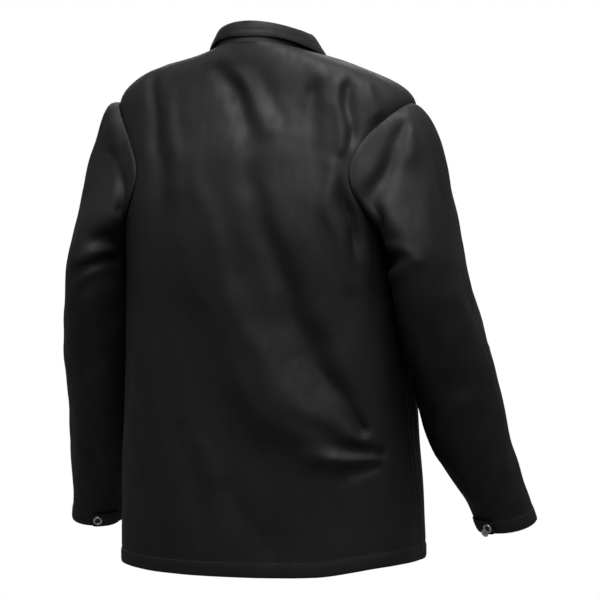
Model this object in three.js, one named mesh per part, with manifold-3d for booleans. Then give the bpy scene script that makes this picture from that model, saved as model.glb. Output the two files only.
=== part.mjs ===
// A leather welding jacket in worn shape: hollow body, set-in sleeves, stand collar with a folded leaf,
// a snap front (wearer's left over right) and snap cuffs. Millimetres, +Z up, the front faces -Y and the
// wearer's left is +X. The garment's own axes have y = 0 at the body's middle plane and z = 0 at the neck
// seam behind the neck; SEAT puts the middle of the hanger loop, where a peg holds it, at the origin.
import * as THREE from "three";
import { mergeVertices } from "three/addons/utils/BufferGeometryUtils.js";
import Module from "manifold-3d";

const wasm = await Module();
wasm.setup();

// ---------- driving dimensions ----------
const SEAT = new THREE.Vector3(0, 84, -6);
const LEATHER = 2.5;
const FACING = 2.0;
const SEAM_GAP = 0.4;

// Rings of the body, from the hem up to the neck seam: half width at the side, depth of the back and of the
// front from the middle plane, how far the ring sits towards the front, squareness of the outline, and the
// heights of its side, back and front.
const BODY = [
  { wide: 219, back: 150, front: 150, ahead: 22, square: 2.7, side: -752, rear: -762, fore: -744 },
  { wide: 216, back: 150, front: 150, ahead: 17, square: 2.8, side: -600, rear: -604, fore: -596 },
  { wide: 205, back: 150, front: 148, ahead: 8, square: 3.0, side: -430, rear: -430, fore: -430 },
  { wide: 197, back: 147, front: 142, ahead: 0, square: 3.4, side: -274, rear: -272, fore: -272 },
  { wide: 203, back: 136, front: 122, ahead: 0, square: 3.0, side: -178, rear: -176, fore: -196 },
  { wide: 222, back: 118, front: 102, ahead: 0, square: 2.5, side: -110, rear: -116, fore: -152 },
  { wide: 221, back: 106, front: 88, ahead: 0, square: 2.3, side: -76, rear: -76, fore: -127 },
  { wide: 190, back: 100, front: 76, ahead: 0, square: 2.2, side: -50, rear: -44, fore: -108 },
  { wide: 132, back: 97, front: 66, ahead: 0, square: 2.1, side: -29, rear: -19, fore: -92 },
  { wide: 76, back: 94, front: 56, ahead: 0, square: 2.0, side: -11, rear: 0, fore: -76 },
];
const NECK = BODY.length - 1;
const BODY_LEVELS = [0, 1, 2, 2.5, 3, 3.5, 4, 4.5, 5, 5.5, 6, 7, 8, 9];

// The armhole seen from the side: an egg with its narrow end at the shoulder tip.
const ARMHOLE = { y: 12, z: -180, high: 95, back: 96, front: 84, egg: 0.3, points: 24 };

// Sections of the left sleeve below the armhole: centre, half width outward, half depth to the back, and how
// far the section's outer side drops.
const SLEEVE = [
  { x: 250, y: 16, z: -305, out: 48, deep: 97, tip: 0 },
  { x: 254, y: 10, z: -352, out: 51, deep: 91, tip: 0 },
  { x: 265, y: -18, z: -435, out: 57, deep: 78, tip: 0 },
  { x: 281, y: -62, z: -540, out: 58, deep: 67, tip: 0 },
  { x: 298, y: -92, z: -605, out: 52, deep: 57, tip: 0 },
  { x: 312, y: -114, z: -660, out: 45, deep: 48, tip: 3 },
  { x: 322, y: -128, z: -702, out: 43, deep: 45, tip: 7 },
];
const BICEPS = 1;
const ELBOW = 3;
const CUFF = SLEEVE.length;
const SLEEVE_SIDES = 16;

const FRONT = {
  hinge: 78,          // half distance between the two lines that the fronts fold on
  overlap: 25,        // how far each front passes the middle
  top: -195,          // the left front opens below this height
  underTop: -201,     // the right front, which rises a little under the left one as it swings
  layerGap: 5.4,      // room for the snaps between the two fronts
  facingWidth: 50,
};
const STEP = LEATHER + 0.3 + FACING + FRONT.layerGap;
const STEP_RAMP = [44, 74];

const COLLAR = { end: 4, standBack: 26, standFront: 22, lean: 8, leafEnd: 8, spread: 13 };

const SNAP = {
  heights: [-96, -232, -374, -516, -658],
  cap: 7.5, socket: 6.2, mouth: 3.0, stud: 6.0, nub: 2.2, bore: 1.5, stem: 1.1, hole: 1.9,
  ease: 1.2,          // play between a snap's plates and the leather
  sides: 10,
};

const FLAP = { from: 97, to: 150, snap: 108, snapRise: 0.2, height: 0.55, gap: 5.4 };
const POCKET = { from: 92, to: 168, bottom: -430, top: -290, room: 13.5, wall: 2 };

// ---------- colours ----------
const material = (color, roughness, metalness) =>
  new THREE.MeshStandardMaterial({ color, roughness, metalness });
const outerLeather = () => material(0x1c1c1d, 0.55, 0);
const innerLeather = () => material(0x3a3532, 0.8, 0);
const tape = () => material(0x242425, 0.8, 0);
const nickel = () => material(0xb4b6b8, 0.3, 1);

// ---------- small mathematics ----------
const clamp01 = (value) => Math.min(1, Math.max(0, value));
const smooth = (low, high, value) => {
  const share = clamp01((value - low) / (high - low));
  return share * share * (3 - 2 * share);
};
const radians = (degrees) => degrees * Math.PI / 180;
const mix = (a, b, share) => a + (b - a) * share;
const steps = (from, to, count) => Array.from({ length: count + 1 }, (_, i) => mix(from, to, i / count));

// Catmull-Rom interpolation of one value of a list of rows.
function along(rows, key, position) {
  const last = rows.length - 1;
  const at = Math.min(last - 1, Math.max(0, Math.floor(position)));
  const share = position - at;
  const p1 = rows[at][key];
  const p2 = rows[at + 1][key];
  const p0 = at > 0 ? rows[at - 1][key] : 2 * p1 - p2;
  const p3 = at + 2 <= last ? rows[at + 2][key] : 2 * p2 - p1;
  const square = share * share;
  return 0.5 * (2 * p1 + (p2 - p0) * share + (2 * p0 - 5 * p1 + 4 * p2 - p3) * square
    + (3 * p1 - p0 - 3 * p2 + p3) * square * share);
}

// ---------- the body's surface ----------
// angle: 0 at the wearer's left side, 90 degrees at the back; level: 0 at the hem, NECK at the neck seam.
function bodyPoint(angle, level) {
  const row = (key) => along(BODY, key, level);
  const toBack = Math.sin(angle) >= 0;
  const wide = row("wide");
  const depth = toBack ? row("back") : row("front");
  const square = row("square");
  const reach = Math.pow(Math.abs(Math.cos(angle) / wide), square)
    + Math.pow(Math.abs(Math.sin(angle) / depth), square);
  const radius = Math.pow(reach, -1 / square);
  const x = radius * Math.cos(angle);
  const y = radius * Math.sin(angle);
  const side = row("side");
  const end = toBack ? row("rear") : row("fore");
  return new THREE.Vector3(x, y - row("ahead"), mix(side, end, Math.pow(Math.abs(y) / depth, square)));
}

// The point of the left half of the body's surface that is seen from the side at (y, z).
function bodyFromSide(y, z) {
  let low = 0;
  let high = NECK;
  let point = null;
  for (let i = 0; i < 40; i += 1) {
    const level = (low + high) / 2;
    const row = (key) => along(BODY, key, level);
    const depth = y >= 0 ? row("back") : row("front");
    const share = Math.pow(Math.min(1, Math.abs(y) / depth), row("square"));
    const height = mix(row("side"), y >= 0 ? row("rear") : row("fore"), share);
    const x = row("wide") * Math.pow(1 - share, 1 / row("square"));
    point = { x, level, angle: Math.atan2(y, x) };
    if (height < z) low = level;
    else high = level;
  }
  return point;
}

function normalOf(surface, u, v, side) {
  const small = 1e-3;
  const alongU = surface(u + small, v).sub(surface(u - small, v));
  const alongV = surface(u, v + small).sub(surface(u, v - small));
  return alongU.cross(alongV).normalize().multiplyScalar(side);
}

// ---------- solids ----------
// A closed wall on surface(u, v), from `inner` to `outer` along its normal; `lift` moves both at a point.
function shell(surface, us, vs, { outer = 0, inner = -LEATHER, side = 1, ring = false, lift = () => 0 } = {}) {
  const columns = us.length;
  const rows = vs.length;
  const positions = [];
  for (const offset of [outer, inner]) {
    for (const u of us) {
      for (const v of vs) {
        const base = surface(u, v);
        const point = base.clone().addScaledVector(normalOf(surface, u, v, side), offset + lift(base));
        positions.push(point.x, point.y, point.z);
      }
    }
  }
  const vertex = (layer, i, j) => layer * columns * rows + (i % columns) * rows + j;
  const faces = [];
  const quad = (a, b, c, d) => {
    if (side > 0) faces.push(a, b, c, a, c, d);
    else faces.push(a, c, b, a, d, c);
  };
  const spans = ring ? columns : columns - 1;
  for (let i = 0; i < spans; i += 1) {
    for (let j = 0; j < rows - 1; j += 1) {
      quad(vertex(0, i, j), vertex(0, i + 1, j), vertex(0, i + 1, j + 1), vertex(0, i, j + 1));
      quad(vertex(1, i, j), vertex(1, i, j + 1), vertex(1, i + 1, j + 1), vertex(1, i + 1, j));
    }
    const end = rows - 1;
    quad(vertex(1, i, 0), vertex(1, i + 1, 0), vertex(0, i + 1, 0), vertex(0, i, 0));
    quad(vertex(0, i, end), vertex(0, i + 1, end), vertex(1, i + 1, end), vertex(1, i, end));
  }
  for (let j = 0; !ring && j < rows - 1; j += 1) {
    const end = columns - 1;
    quad(vertex(0, 0, j), vertex(0, 0, j + 1), vertex(1, 0, j + 1), vertex(1, 0, j));
    quad(vertex(1, end, j), vertex(1, end, j + 1), vertex(0, end, j + 1), vertex(0, end, j));
  }
  const geometry = new THREE.BufferGeometry();
  geometry.setAttribute("position", new THREE.Float32BufferAttribute(positions, 3));
  geometry.setIndex(faces);
  return geometry;
}

// Only positions, with shared vertices merged and flat triangles dropped.
function plain(geometry) {
  const bare = geometry.clone();
  bare.deleteAttribute("normal");
  bare.deleteAttribute("uv");
  const merged = mergeVertices(bare, 1e-4);
  const old = merged.getIndex().array;
  const faces = [];
  for (let i = 0; i < old.length; i += 3) {
    const [a, b, c] = [old[i], old[i + 1], old[i + 2]];
    if (a !== b && b !== c && c !== a) faces.push(a, b, c);
  }
  merged.setIndex(faces);
  return merged;
}

function solid(geometry) {
  const bare = plain(geometry);
  return new wasm.Manifold(new wasm.Mesh({
    numProp: 3,
    vertProperties: Float32Array.from(bare.getAttribute("position").array),
    triVerts: Uint32Array.from(bare.getIndex().array),
  }));
}

function geometryOf(body) {
  const mesh = body.getMesh();
  const geometry = new THREE.BufferGeometry();
  geometry.setAttribute("position", new THREE.Float32BufferAttribute(Array.from(mesh.vertProperties), 3));
  geometry.setIndex(Array.from(mesh.triVerts));
  return geometry;
}

const cut = (geometry, ...tools) =>
  geometryOf(tools.reduce((body, tool) => body.subtract(solid(tool)), solid(geometry)));
const keep = (geometry, tool) => geometryOf(solid(geometry).intersect(solid(tool)));

function mirrored(geometry) {
  const other = plain(geometry).scale(-1, 1, 1);
  const faces = Array.from(other.getIndex().array);
  for (let i = 0; i < faces.length; i += 3) [faces[i + 1], faces[i + 2]] = [faces[i + 2], faces[i + 1]];
  other.setIndex(faces);
  return other;
}

function block(x0, x1, y0, y1, z0, z1) {
  return new THREE.BoxGeometry(x1 - x0, y1 - y0, z1 - z0)
    .translate((x0 + x1) / 2, (y0 + y1) / 2, (z0 + z1) / 2);
}

// Turns a geometry made along +Y so that +Y points along `direction`, and moves it to `point`.
function stand(geometry, point, direction) {
  const turn = new THREE.Quaternion().setFromUnitVectors(new THREE.Vector3(0, 1, 0), direction);
  return geometry.applyQuaternion(turn).translate(point.x, point.y, point.z);
}

function lathe(profile) {
  const points = profile.map(([radius, height]) => new THREE.Vector2(radius, height));
  return new THREE.LatheGeometry(points, SNAP.sides);
}

// ---------- armhole ----------
function armholeSide(turn) {
  const wide = Math.sin(turn) * (1 - ARMHOLE.egg * Math.cos(turn));
  return {
    y: ARMHOLE.y + wide * (wide >= 0 ? ARMHOLE.back : ARMHOLE.front),
    z: ARMHOLE.z + ARMHOLE.high * Math.cos(turn),
  };
}

// A prism along X that cuts the armhole out of the left side of the body.
function armholeCutter() {
  const outline = steps(0, 2 * Math.PI, ARMHOLE.points).slice(0, -1).map((turn) => {
    const { y, z } = armholeSide(turn);
    return new THREE.Vector2(y, z);
  });
  const prism = new THREE.ExtrudeGeometry(new THREE.Shape(outline), { depth: 300, bevelEnabled: false });
  const yzx = new THREE.Matrix4().makeBasis(
    new THREE.Vector3(0, 1, 0), new THREE.Vector3(0, 0, 1), new THREE.Vector3(1, 0, 0));
  return prism.applyMatrix4(yzx).translate(60, 0, 0);
}

// ---------- the left sleeve's surface ----------
// turn: 0 outward, 90 degrees to the back; v: 0 at the armhole, BICEPS, ELBOW, up to CUFF.
function sleeveSection(index) {
  const centre = new THREE.Vector3(...["x", "y", "z"].map((key) => along(SLEEVE, key, index)));
  const step = 0.01;
  const ahead = new THREE.Vector3(...["x", "y", "z"].map((key) => along(SLEEVE, key, index + step)));
  const before = new THREE.Vector3(...["x", "y", "z"].map((key) => along(SLEEVE, key, index - step)));
  const down = ahead.sub(before).normalize();
  const out = new THREE.Vector3(1, 0, 0).addScaledVector(down, -down.x).normalize();
  const back = out.clone().cross(down);
  return { centre, down, out, back };
}

function tubePoint(turn, index) {
  const { centre, down, out, back } = sleeveSection(index);
  return centre.addScaledVector(out, along(SLEEVE, "out", index) * Math.cos(turn))
    .addScaledVector(back, along(SLEEVE, "deep", index) * Math.sin(turn))
    .addScaledVector(down, along(SLEEVE, "tip", index) * Math.cos(turn));
}

function sleevePoint(turn, v) {
  if (v >= BICEPS) return tubePoint(turn, v - BICEPS);
  const { y, z } = armholeSide(turn);
  const seat = bodyFromSide(y, z);
  const start = bodyPoint(seat.angle, seat.level)
    .addScaledVector(normalOf(bodyPoint, seat.angle, seat.level, 1), SEAM_GAP * 2);
  const end = tubePoint(turn, 0);
  const span = start.distanceTo(end);
  const inner = (1 - Math.cos(turn)) / 2;
  const leave = new THREE.Vector3(1, 0, mix(-0.6, -1.2, inner)).normalize().multiplyScalar(span * 0.9);
  const arrive = sleeveSection(0).down.multiplyScalar(span * 0.7);
  const square = v * v;
  const cube = square * v;
  return start.multiplyScalar(2 * cube - 3 * square + 1)
    .addScaledVector(leave, cube - 2 * square + v)
    .addScaledVector(end, -2 * cube + 3 * square)
    .addScaledVector(arrive, cube - square);
}

const sleeveTurns = steps(0, 2 * Math.PI, SLEEVE_SIDES).slice(0, -1);

function sleeveTube(levels, options = {}) {
  return shell(sleevePoint, sleeveTurns, levels, { side: -1, ring: true, ...options });
}

// ---------- body panels ----------
const HALF = Math.PI / 2;
const SIDE_GAP = 0.0015;

const backAngles = steps(SIDE_GAP, Math.PI - SIDE_GAP, 20);

function backPanel() {
  const sheet = shell(bodyPoint, backAngles, BODY_LEVELS);
  const hole = armholeCutter();
  return cut(sheet, hole, mirrored(hole));
}

const overMiddle = -HALF - radians(14);

// One front in the wearer's left position; `step` sinks its closing edge below the other front.
function frontPanel(step) {
  const lift = (point) => -step * (1 - smooth(STEP_RAMP[0], STEP_RAMP[1], point.x));
  const angles = [...steps(overMiddle, -HALF + radians(28), 5), ...steps(-HALF + radians(36), -SIDE_GAP, 6)];
  const sheet = shell(bodyPoint, angles, BODY_LEVELS, { lift });
  const past = block(-200, -FRONT.overlap, -300, 0, -900, 100);
  return cut(sheet, armholeCutter(), past, ...frontSnapHoles());
}

function frontFacing(step) {
  const lift = () => -step - LEATHER - 0.3;
  const sheet = shell(bodyPoint, steps(overMiddle, -HALF + radians(28), 5), BODY_LEVELS.slice(1),
    { inner: -FACING, lift });
  const half = FRONT.facingWidth / 2;
  return cut(keep(sheet, block(-half, half, -300, 0, -720, -84)), ...frontSnapHoles());
}

const openingPart = (top) => block(-200, FRONT.hinge - SEAM_GAP, -300, 0, -900, top - SEAM_GAP);
const openingRoom = (top) => block(-200, FRONT.hinge, -300, 0, -900, top);

// ---------- snaps ----------
// Where a front snap sits: the point of the body's middle front line at a height, and the outward normal.
function frontSnapSeat(height) {
  let low = 0;
  let high = NECK;
  for (let i = 0; i < 40; i += 1) {
    const level = (low + high) / 2;
    if (along(BODY, "fore", level) < height) low = level;
    else high = level;
  }
  return { point: bodyPoint(-HALF, low), normal: normalOf(bodyPoint, -HALF, low, 1) };
}

function cuffSnapSeat() {
  const turn = radians(FLAP.snap);
  const v = CUFF - FLAP.snapRise;
  return { point: sleevePoint(turn, v), normal: normalOf(sleevePoint, turn, v, -1) };
}

// Heights along a snap's axis count from the outer face of the lower layer.
function snapHole(seat, from, to) {
  const drill = new THREE.CylinderGeometry(SNAP.hole, SNAP.hole, to - from, SNAP.sides)
    .translate(0, (to + from) / 2, 0);
  return stand(drill, seat.point, seat.normal);
}

function frontSnapHoles() {
  return SNAP.heights.map((height) => snapHole(frontSnapSeat(height), -25, 10));
}

function snapPieces(under, over, gap) {
  const { ease } = SNAP;
  const top = gap + over;
  return {
    cap: lathe([[0, gap - 0.3], [SNAP.stem, gap - 0.3], [SNAP.stem, top + ease], [SNAP.cap, top + ease],
      [SNAP.cap - 1, top + ease + 1.6], [0, top + ease + 1]]),
    socket: lathe([[SNAP.mouth, gap - ease - 1.9], [SNAP.socket, gap - ease - 1.9], [SNAP.socket, gap - ease],
      [SNAP.mouth, gap - ease], [SNAP.mouth, gap - ease - 1.9]]),
    stud: lathe([[0, 2.9], [SNAP.bore, 2.9], [SNAP.bore, ease], [SNAP.stud, ease], [SNAP.stud, ease + 0.7],
      [SNAP.nub, ease + 0.9], [SNAP.nub, 3.8], [0, 3.8]]),
    post: lathe([[0, -under - ease - 0.9], [SNAP.stud - 0.5, -under - ease - 0.9],
      [SNAP.stud - 0.5, -under - ease], [SNAP.stem, -under - ease], [SNAP.stem, 2.5], [0, 2.5]]),
  };
}

// ---------- collar ----------
const standHeight = (angle) => mix(COLLAR.standFront, COLLAR.standBack, (1 + Math.sin(angle)) / 2);

function neckPoint(angle) {
  const base = bodyPoint(angle, NECK);
  const ring = BODY[NECK];
  const depth = base.y > 0 ? ring.back : ring.front;
  const out = new THREE.Vector3(base.x / ring.wide ** 2, base.y / depth ** 2, 0).normalize();
  return { base, out };
}

function standPoint(angle, v) {
  const { base, out } = neckPoint(angle);
  return base.addScaledVector(out, -COLLAR.lean * v).add(new THREE.Vector3(0, 0, SEAM_GAP + v * standHeight(angle)));
}

function leafPoint(angle, v) {
  const { base, out } = neckPoint(angle);
  const high = standHeight(angle) + SEAM_GAP;
  const toBack = Math.max(0, Math.sin(angle));
  const toFront = Math.max(0, -Math.sin(angle)) ** 2;
  const edgeAngle = angle + radians(COLLAR.spread) * toFront * Math.sign(Math.cos(angle));
  const level = NECK - mix(0.28 * (1 - toBack), 2.3, toFront);
  const edge = bodyPoint(edgeAngle, level)
    .addScaledVector(normalOf(bodyPoint, edgeAngle, level, 1), mix(4.5, 7, toBack))
    .add(new THREE.Vector3(0, 0, mix(2, 9, toBack) * (1 - toFront)));
  const arch = (outward, up) => base.clone().addScaledVector(out, outward).add(new THREE.Vector3(0, 0, up));
  const fold = -COLLAR.lean;
  return new THREE.CubicBezierCurve3(arch(fold - 1.4, high + 2.8), arch(fold + 0.5, high + 6),
    arch(fold + 8, high + 5), edge)
    .getPoint(v);
}

const aroundNeck = (end, count) => steps(-HALF + radians(end), 3 * HALF - radians(end), count);

// ---------- small pieces ----------
function backNeckFacing() {
  return shell(bodyPoint, backAngles.slice(4, -4), [7, 8, NECK],
    { outer: -LEATHER - 0.3, inner: -LEATHER - 0.3 - FACING });
}

// A strap sewn at both ends to the neck facing, standing off it for a peg.
function hangerLoop() {
  const arch = (u, v) => new THREE.Vector3(mix(-33, 33, u), 78.4 - 1.0 * Math.sin(Math.PI * u), -10 + 8 * v);
  return shell(arch, steps(0, 1, 10), [0, 1], { outer: 0, inner: -2 });
}

function neckLabel() {
  return shell(bodyPoint, backAngles.slice(8, -8), [5.5, 6],
    { outer: -LEATHER - 0.3, inner: -LEATHER - 1.5 });
}

// An open-topped patch pocket inside the left front: a thick patch, hollowed from the side of the body.
function insidePocket() {
  const angles = steps(radians(-68), radians(-28), 6);
  const levels = steps(1.6, 3.3, 4);
  const face = -LEATHER - 1.4;
  const wholePatch = shell(bodyPoint, angles, levels, { outer: face, inner: face - POCKET.room - POCKET.wall });
  const patch = keep(wholePatch, block(POCKET.from, POCKET.to, -300, 0, POCKET.bottom, POCKET.top));
  const room = shell(bodyPoint, angles, levels, { outer: face + 1, inner: face - POCKET.room });
  const wall = POCKET.wall;
  const mouth = block(POCKET.from + wall, POCKET.to - wall, -300, 0, POCKET.bottom + wall, POCKET.top + 20);
  return cut(patch, keep(room, mouth));
}

function cuffFlap(seat) {
  const turns = steps(radians(FLAP.from), radians(FLAP.to), 6);
  const band = shell(sleevePoint, turns, steps(CUFF - FLAP.height, CUFF, 2),
    { side: -1, outer: FLAP.gap + LEATHER, inner: FLAP.gap });
  return cut(band, snapHole(seat, 0, 12));
}

// ---------- assembly ----------
const jacket = new THREE.Group();
jacket.position.set(-SEAT.x, -SEAT.y, -SEAT.z);

function piece(name, geometry, look) {
  const mesh = new THREE.Mesh(plain(geometry), look);
  mesh.name = name;
  jacket.add(mesh);
}

function addBody() {
  piece("back_panel", backPanel(), outerLeather());
  const fronts = [["left", 0, FRONT.top, (geometry) => geometry], ["right", STEP, FRONT.underTop, mirrored]];
  for (const [side, step, top, place] of fronts) {
    const front = frontPanel(step);
    piece(`${side}_front_upper`, place(cut(front, openingRoom(top))), outerLeather());
    piece(`${side}_front_lower`, place(keep(front, openingPart(top))), outerLeather());
    const facing = frontFacing(step);
    piece(`${side}_facing_upper`, place(cut(facing, openingRoom(top))), innerLeather());
    piece(`${side}_facing_lower`, place(keep(facing, openingPart(top))), innerLeather());
  }
}

function addCollar() {
  piece("collar_stand", shell(standPoint, aroundNeck(COLLAR.end, 20), [0, 1]), outerLeather());
  piece("collar_leaf", shell(leafPoint, aroundNeck(COLLAR.leafEnd, 22), [0, 0.25, 0.5, 0.75, 1],
    { side: -1, outer: 1.2, inner: -1.2 }), outerLeather());
  piece("back_neck_facing", backNeckFacing(), innerLeather());
  piece("hanger_loop", hangerLoop(), tape());
  piece("neck_label", neckLabel(), tape());
  piece("inside_pocket", insidePocket(), innerLeather());
}

function addFrontSnaps() {
  const layers = LEATHER + 0.3 + FACING;
  SNAP.heights.forEach((height, index) => {
    const { point, normal } = frontSnapSeat(height);
    const base = point.clone().addScaledVector(normal, -STEP);
    for (const [part, geometry] of Object.entries(snapPieces(layers, layers, FRONT.layerGap))) {
      piece(`front_snap_${part}_${index + 1}`, stand(geometry, base, normal), nickel());
    }
  });
}

function addSleeves() {
  const upperLevels = [0, 0.2, 0.5, 0.8, BICEPS, 2, ELBOW - 0.003];
  const lowerLevels = [ELBOW + 0.003, 3.5, 4, 5, 6, CUFF];
  const seat = cuffSnapSeat();
  const hole = snapHole(seat, -12, 3);
  const upper = sleeveTube(upperLevels);
  const forearm = cut(sleeveTube(lowerLevels), hole);
  const facing = cut(sleeveTube([6.5, 6.75, CUFF], { outer: -LEATHER - 0.3, inner: -LEATHER - 0.3 - FACING }),
    hole);
  const flap = cuffFlap(seat);
  for (const [side, place] of [["left", (geometry) => geometry], ["right", mirrored]]) {
    piece(`${side}_upper_sleeve`, place(upper), outerLeather());
    piece(`${side}_forearm_sleeve`, place(forearm), outerLeather());
    piece(`${side}_cuff_facing`, place(facing), innerLeather());
    piece(`${side}_cuff_flap`, place(flap), outerLeather());
    const parts = snapPieces(LEATHER + 0.3 + FACING, LEATHER, FLAP.gap);
    for (const [part, geometry] of Object.entries(parts)) {
      piece(`${side}_cuff_snap_${part}`, place(stand(geometry, seat.point, seat.normal)), nickel());
    }
  }
}

addBody();
addCollar();
addFrontSnaps();
addSleeves();

const assembly = new THREE.Group();
assembly.add(jacket);
export default assembly;
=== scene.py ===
"""Leather welding jacket: fine leather skins, seams, stitching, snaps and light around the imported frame.

The skins follow the same surfaces as the CAD solids. Those surfaces are written in millimetres in the
garment's own axes (z = 0 at the neck seam behind the neck, y = 0 at the body's middle plane), and SEAT
moves them into the frame, where Blender works in metres.
"""
import math

import bpy
import numpy as np
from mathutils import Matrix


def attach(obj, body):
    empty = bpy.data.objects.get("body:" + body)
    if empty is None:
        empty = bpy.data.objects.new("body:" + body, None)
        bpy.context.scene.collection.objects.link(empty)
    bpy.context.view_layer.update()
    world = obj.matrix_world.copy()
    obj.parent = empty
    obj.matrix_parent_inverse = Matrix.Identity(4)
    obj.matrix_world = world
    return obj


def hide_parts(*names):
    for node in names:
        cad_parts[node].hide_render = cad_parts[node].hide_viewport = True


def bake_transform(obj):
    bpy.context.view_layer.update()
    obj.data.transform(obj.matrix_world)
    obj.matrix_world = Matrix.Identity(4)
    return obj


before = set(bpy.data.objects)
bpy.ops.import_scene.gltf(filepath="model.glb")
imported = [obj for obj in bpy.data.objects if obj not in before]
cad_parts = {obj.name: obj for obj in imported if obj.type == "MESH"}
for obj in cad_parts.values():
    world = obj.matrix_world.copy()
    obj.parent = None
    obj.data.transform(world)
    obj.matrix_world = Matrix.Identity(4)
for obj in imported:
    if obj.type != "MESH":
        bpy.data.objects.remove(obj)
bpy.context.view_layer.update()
scene = bpy.context.scene
MM = 0.001
SEAT = np.array([0.0, 84.0, -6.0])

# ---------- camera ----------
AZIMUTH = math.radians(199.75)
DISTANCE = 3.55
EYE_HEIGHT = -0.38
lens = bpy.data.cameras.new("camera")
lens.lens = 145.7
lens.sensor_width = 36.0
lens.shift_x = 0.055
lens.shift_y = 0.0183
camera = bpy.data.objects.new("camera", lens)
scene.collection.objects.link(camera)
camera.location = (math.sin(AZIMUTH) * DISTANCE, -math.cos(AZIMUTH) * DISTANCE - 0.084, EYE_HEIGHT)
camera.rotation_euler = (math.pi / 2, 0, AZIMUTH)
scene.camera = camera

# ---------- dimensions shared with the CAD, millimetres ----------
BODY = {
    "wide": [219, 216, 205, 197, 203, 222, 221, 190, 132, 76],
    "back": [150, 150, 150, 147, 136, 118, 106, 100, 97, 94],
    "front": [150, 150, 148, 142, 122, 102, 88, 76, 66, 56],
    "ahead": [22, 17, 8, 0, 0, 0, 0, 0, 0, 0],
    "square": [2.7, 2.8, 3.0, 3.4, 3.0, 2.5, 2.3, 2.2, 2.1, 2.0],
    "side": [-752, -600, -430, -274, -178, -110, -76, -50, -29, -11],
    "rear": [-762, -604, -430, -272, -176, -116, -76, -44, -19, 0],
    "fore": [-744, -596, -430, -272, -196, -152, -127, -108, -92, -76],
}
NECK = 9
SLEEVE = {
    "x": [250, 254, 265, 281, 298, 312, 322],
    "y": [16, 10, -18, -62, -92, -114, -128],
    "z": [-305, -352, -435, -540, -605, -660, -702],
    "out": [48, 51, 57, 58, 52, 45, 43],
    "deep": [97, 91, 78, 67, 57, 48, 45],
    "tip": [0, 0, 0, 0, 0, 3, 7],
}
CUFF = 7
SPLIT = 2.6            # where the upper and the lower sleeve skins meet
ARM_Y, ARM_Z, ARM_HIGH, ARM_BACK, ARM_FRONT, ARM_EGG = 12, -180, 95, 96, 84, 0.3
LEATHER = 2.2
OVERLAP = 25
LAYER_STEP = 10.2      # the right front lies this far below the left one
STAND_BACK, STAND_FRONT, LEAN = 26, 22, 8
SNAP_HEIGHTS = [-96, -232, -374, -516, -658]
FLAP_FROM, FLAP_TO, FLAP_SNAP = 97, 150, 108
HALF = math.pi / 2


# ---------- small mathematics ----------
def along(rows, key, position):
    """Catmull-Rom interpolation of one list of a table, for an array of positions."""
    values = np.asarray(rows[key], float)
    last = len(values) - 1
    position = np.asarray(position, float)
    at = np.clip(np.floor(position).astype(int), 0, last - 1)
    share = position - at
    p1, p2 = values[at], values[at + 1]
    p0 = np.where(at > 0, values[np.maximum(at - 1, 0)], 2 * p1 - p2)
    p3 = np.where(at + 2 <= last, values[np.minimum(at + 2, last)], 2 * p2 - p1)
    return 0.5 * (2 * p1 + (p2 - p0) * share + (2 * p0 - 5 * p1 + 4 * p2 - p3) * share ** 2
                  + (3 * p1 - p0 - 3 * p2 + p3) * share ** 3)


def smooth(low, high, value):
    share = np.clip((value - low) / (high - low), 0, 1)
    return share * share * (3 - 2 * share)


def bell(value, width):
    return np.exp(-(value / width) ** 2)


def unit(vectors):
    return vectors / np.maximum(np.linalg.norm(vectors, axis=-1, keepdims=True), 1e-12)


def mix(a, b, share):
    return a + (b - a) * share


def stack(x, y, z):
    return np.stack(np.broadcast_arrays(x, y, z), axis=-1).astype(float)


class Waves:
    """Smooth seeded noise: a sum of sines of one rough wavelength, stretched along z."""

    def __init__(self, seed, wavelength, stretch=1.0, count=14):
        random = np.random.RandomState(seed)
        self.k = unit(random.normal(size=(count, 3))) * 2 * np.pi / wavelength
        self.k *= random.uniform(0.7, 1.4, size=(count, 1))
        self.k[:, 2] /= stretch
        self.phase = random.uniform(0, 2 * np.pi, count)
        self.scale = 1 / math.sqrt(count / 2)

    def __call__(self, points):
        return np.sin(points @ self.k.T + self.phase).sum(-1) * self.scale


# ---------- surfaces, in garment millimetres ----------
def body_point(angle, level):
    angle, level = np.broadcast_arrays(np.asarray(angle, float), np.asarray(level, float))
    to_back = np.sin(angle) >= 0
    wide = along(BODY, "wide", level)
    depth = np.where(to_back, along(BODY, "back", level), along(BODY, "front", level))
    square = along(BODY, "square", level)
    reach = (np.abs(np.cos(angle)) / wide) ** square + (np.abs(np.sin(angle)) / depth) ** square
    radius = reach ** (-1 / square)
    x, y = radius * np.cos(angle), radius * np.sin(angle)
    end = np.where(to_back, along(BODY, "rear", level), along(BODY, "fore", level))
    z = mix(along(BODY, "side", level), end, (np.abs(y) / depth) ** square)
    return stack(x, y - along(BODY, "ahead", level), z)


def normal_of(surface, u, v):
    small = 1e-3
    along_u = surface(u + small, v) - surface(u - small, v)
    along_v = surface(u, v + small) - surface(u, v - small)
    return unit(np.cross(along_u, along_v))


def body_from_side(y, z):
    """The level and angle of the left half of the body seen from the side at (y, z)."""
    low, high = np.zeros_like(y), np.full_like(y, float(NECK))
    for _ in range(40):
        level = (low + high) / 2
        depth = np.where(y >= 0, along(BODY, "back", level), along(BODY, "front", level))
        square = along(BODY, "square", level)
        share = np.minimum(1, np.abs(y) / depth) ** square
        end = np.where(y >= 0, along(BODY, "rear", level), along(BODY, "fore", level))
        height = mix(along(BODY, "side", level), end, share)
        x = along(BODY, "wide", level) * (1 - share) ** (1 / square)
        low, high = np.where(height < z, level, low), np.where(height < z, high, level)
    return np.arctan2(y, x), level


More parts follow.
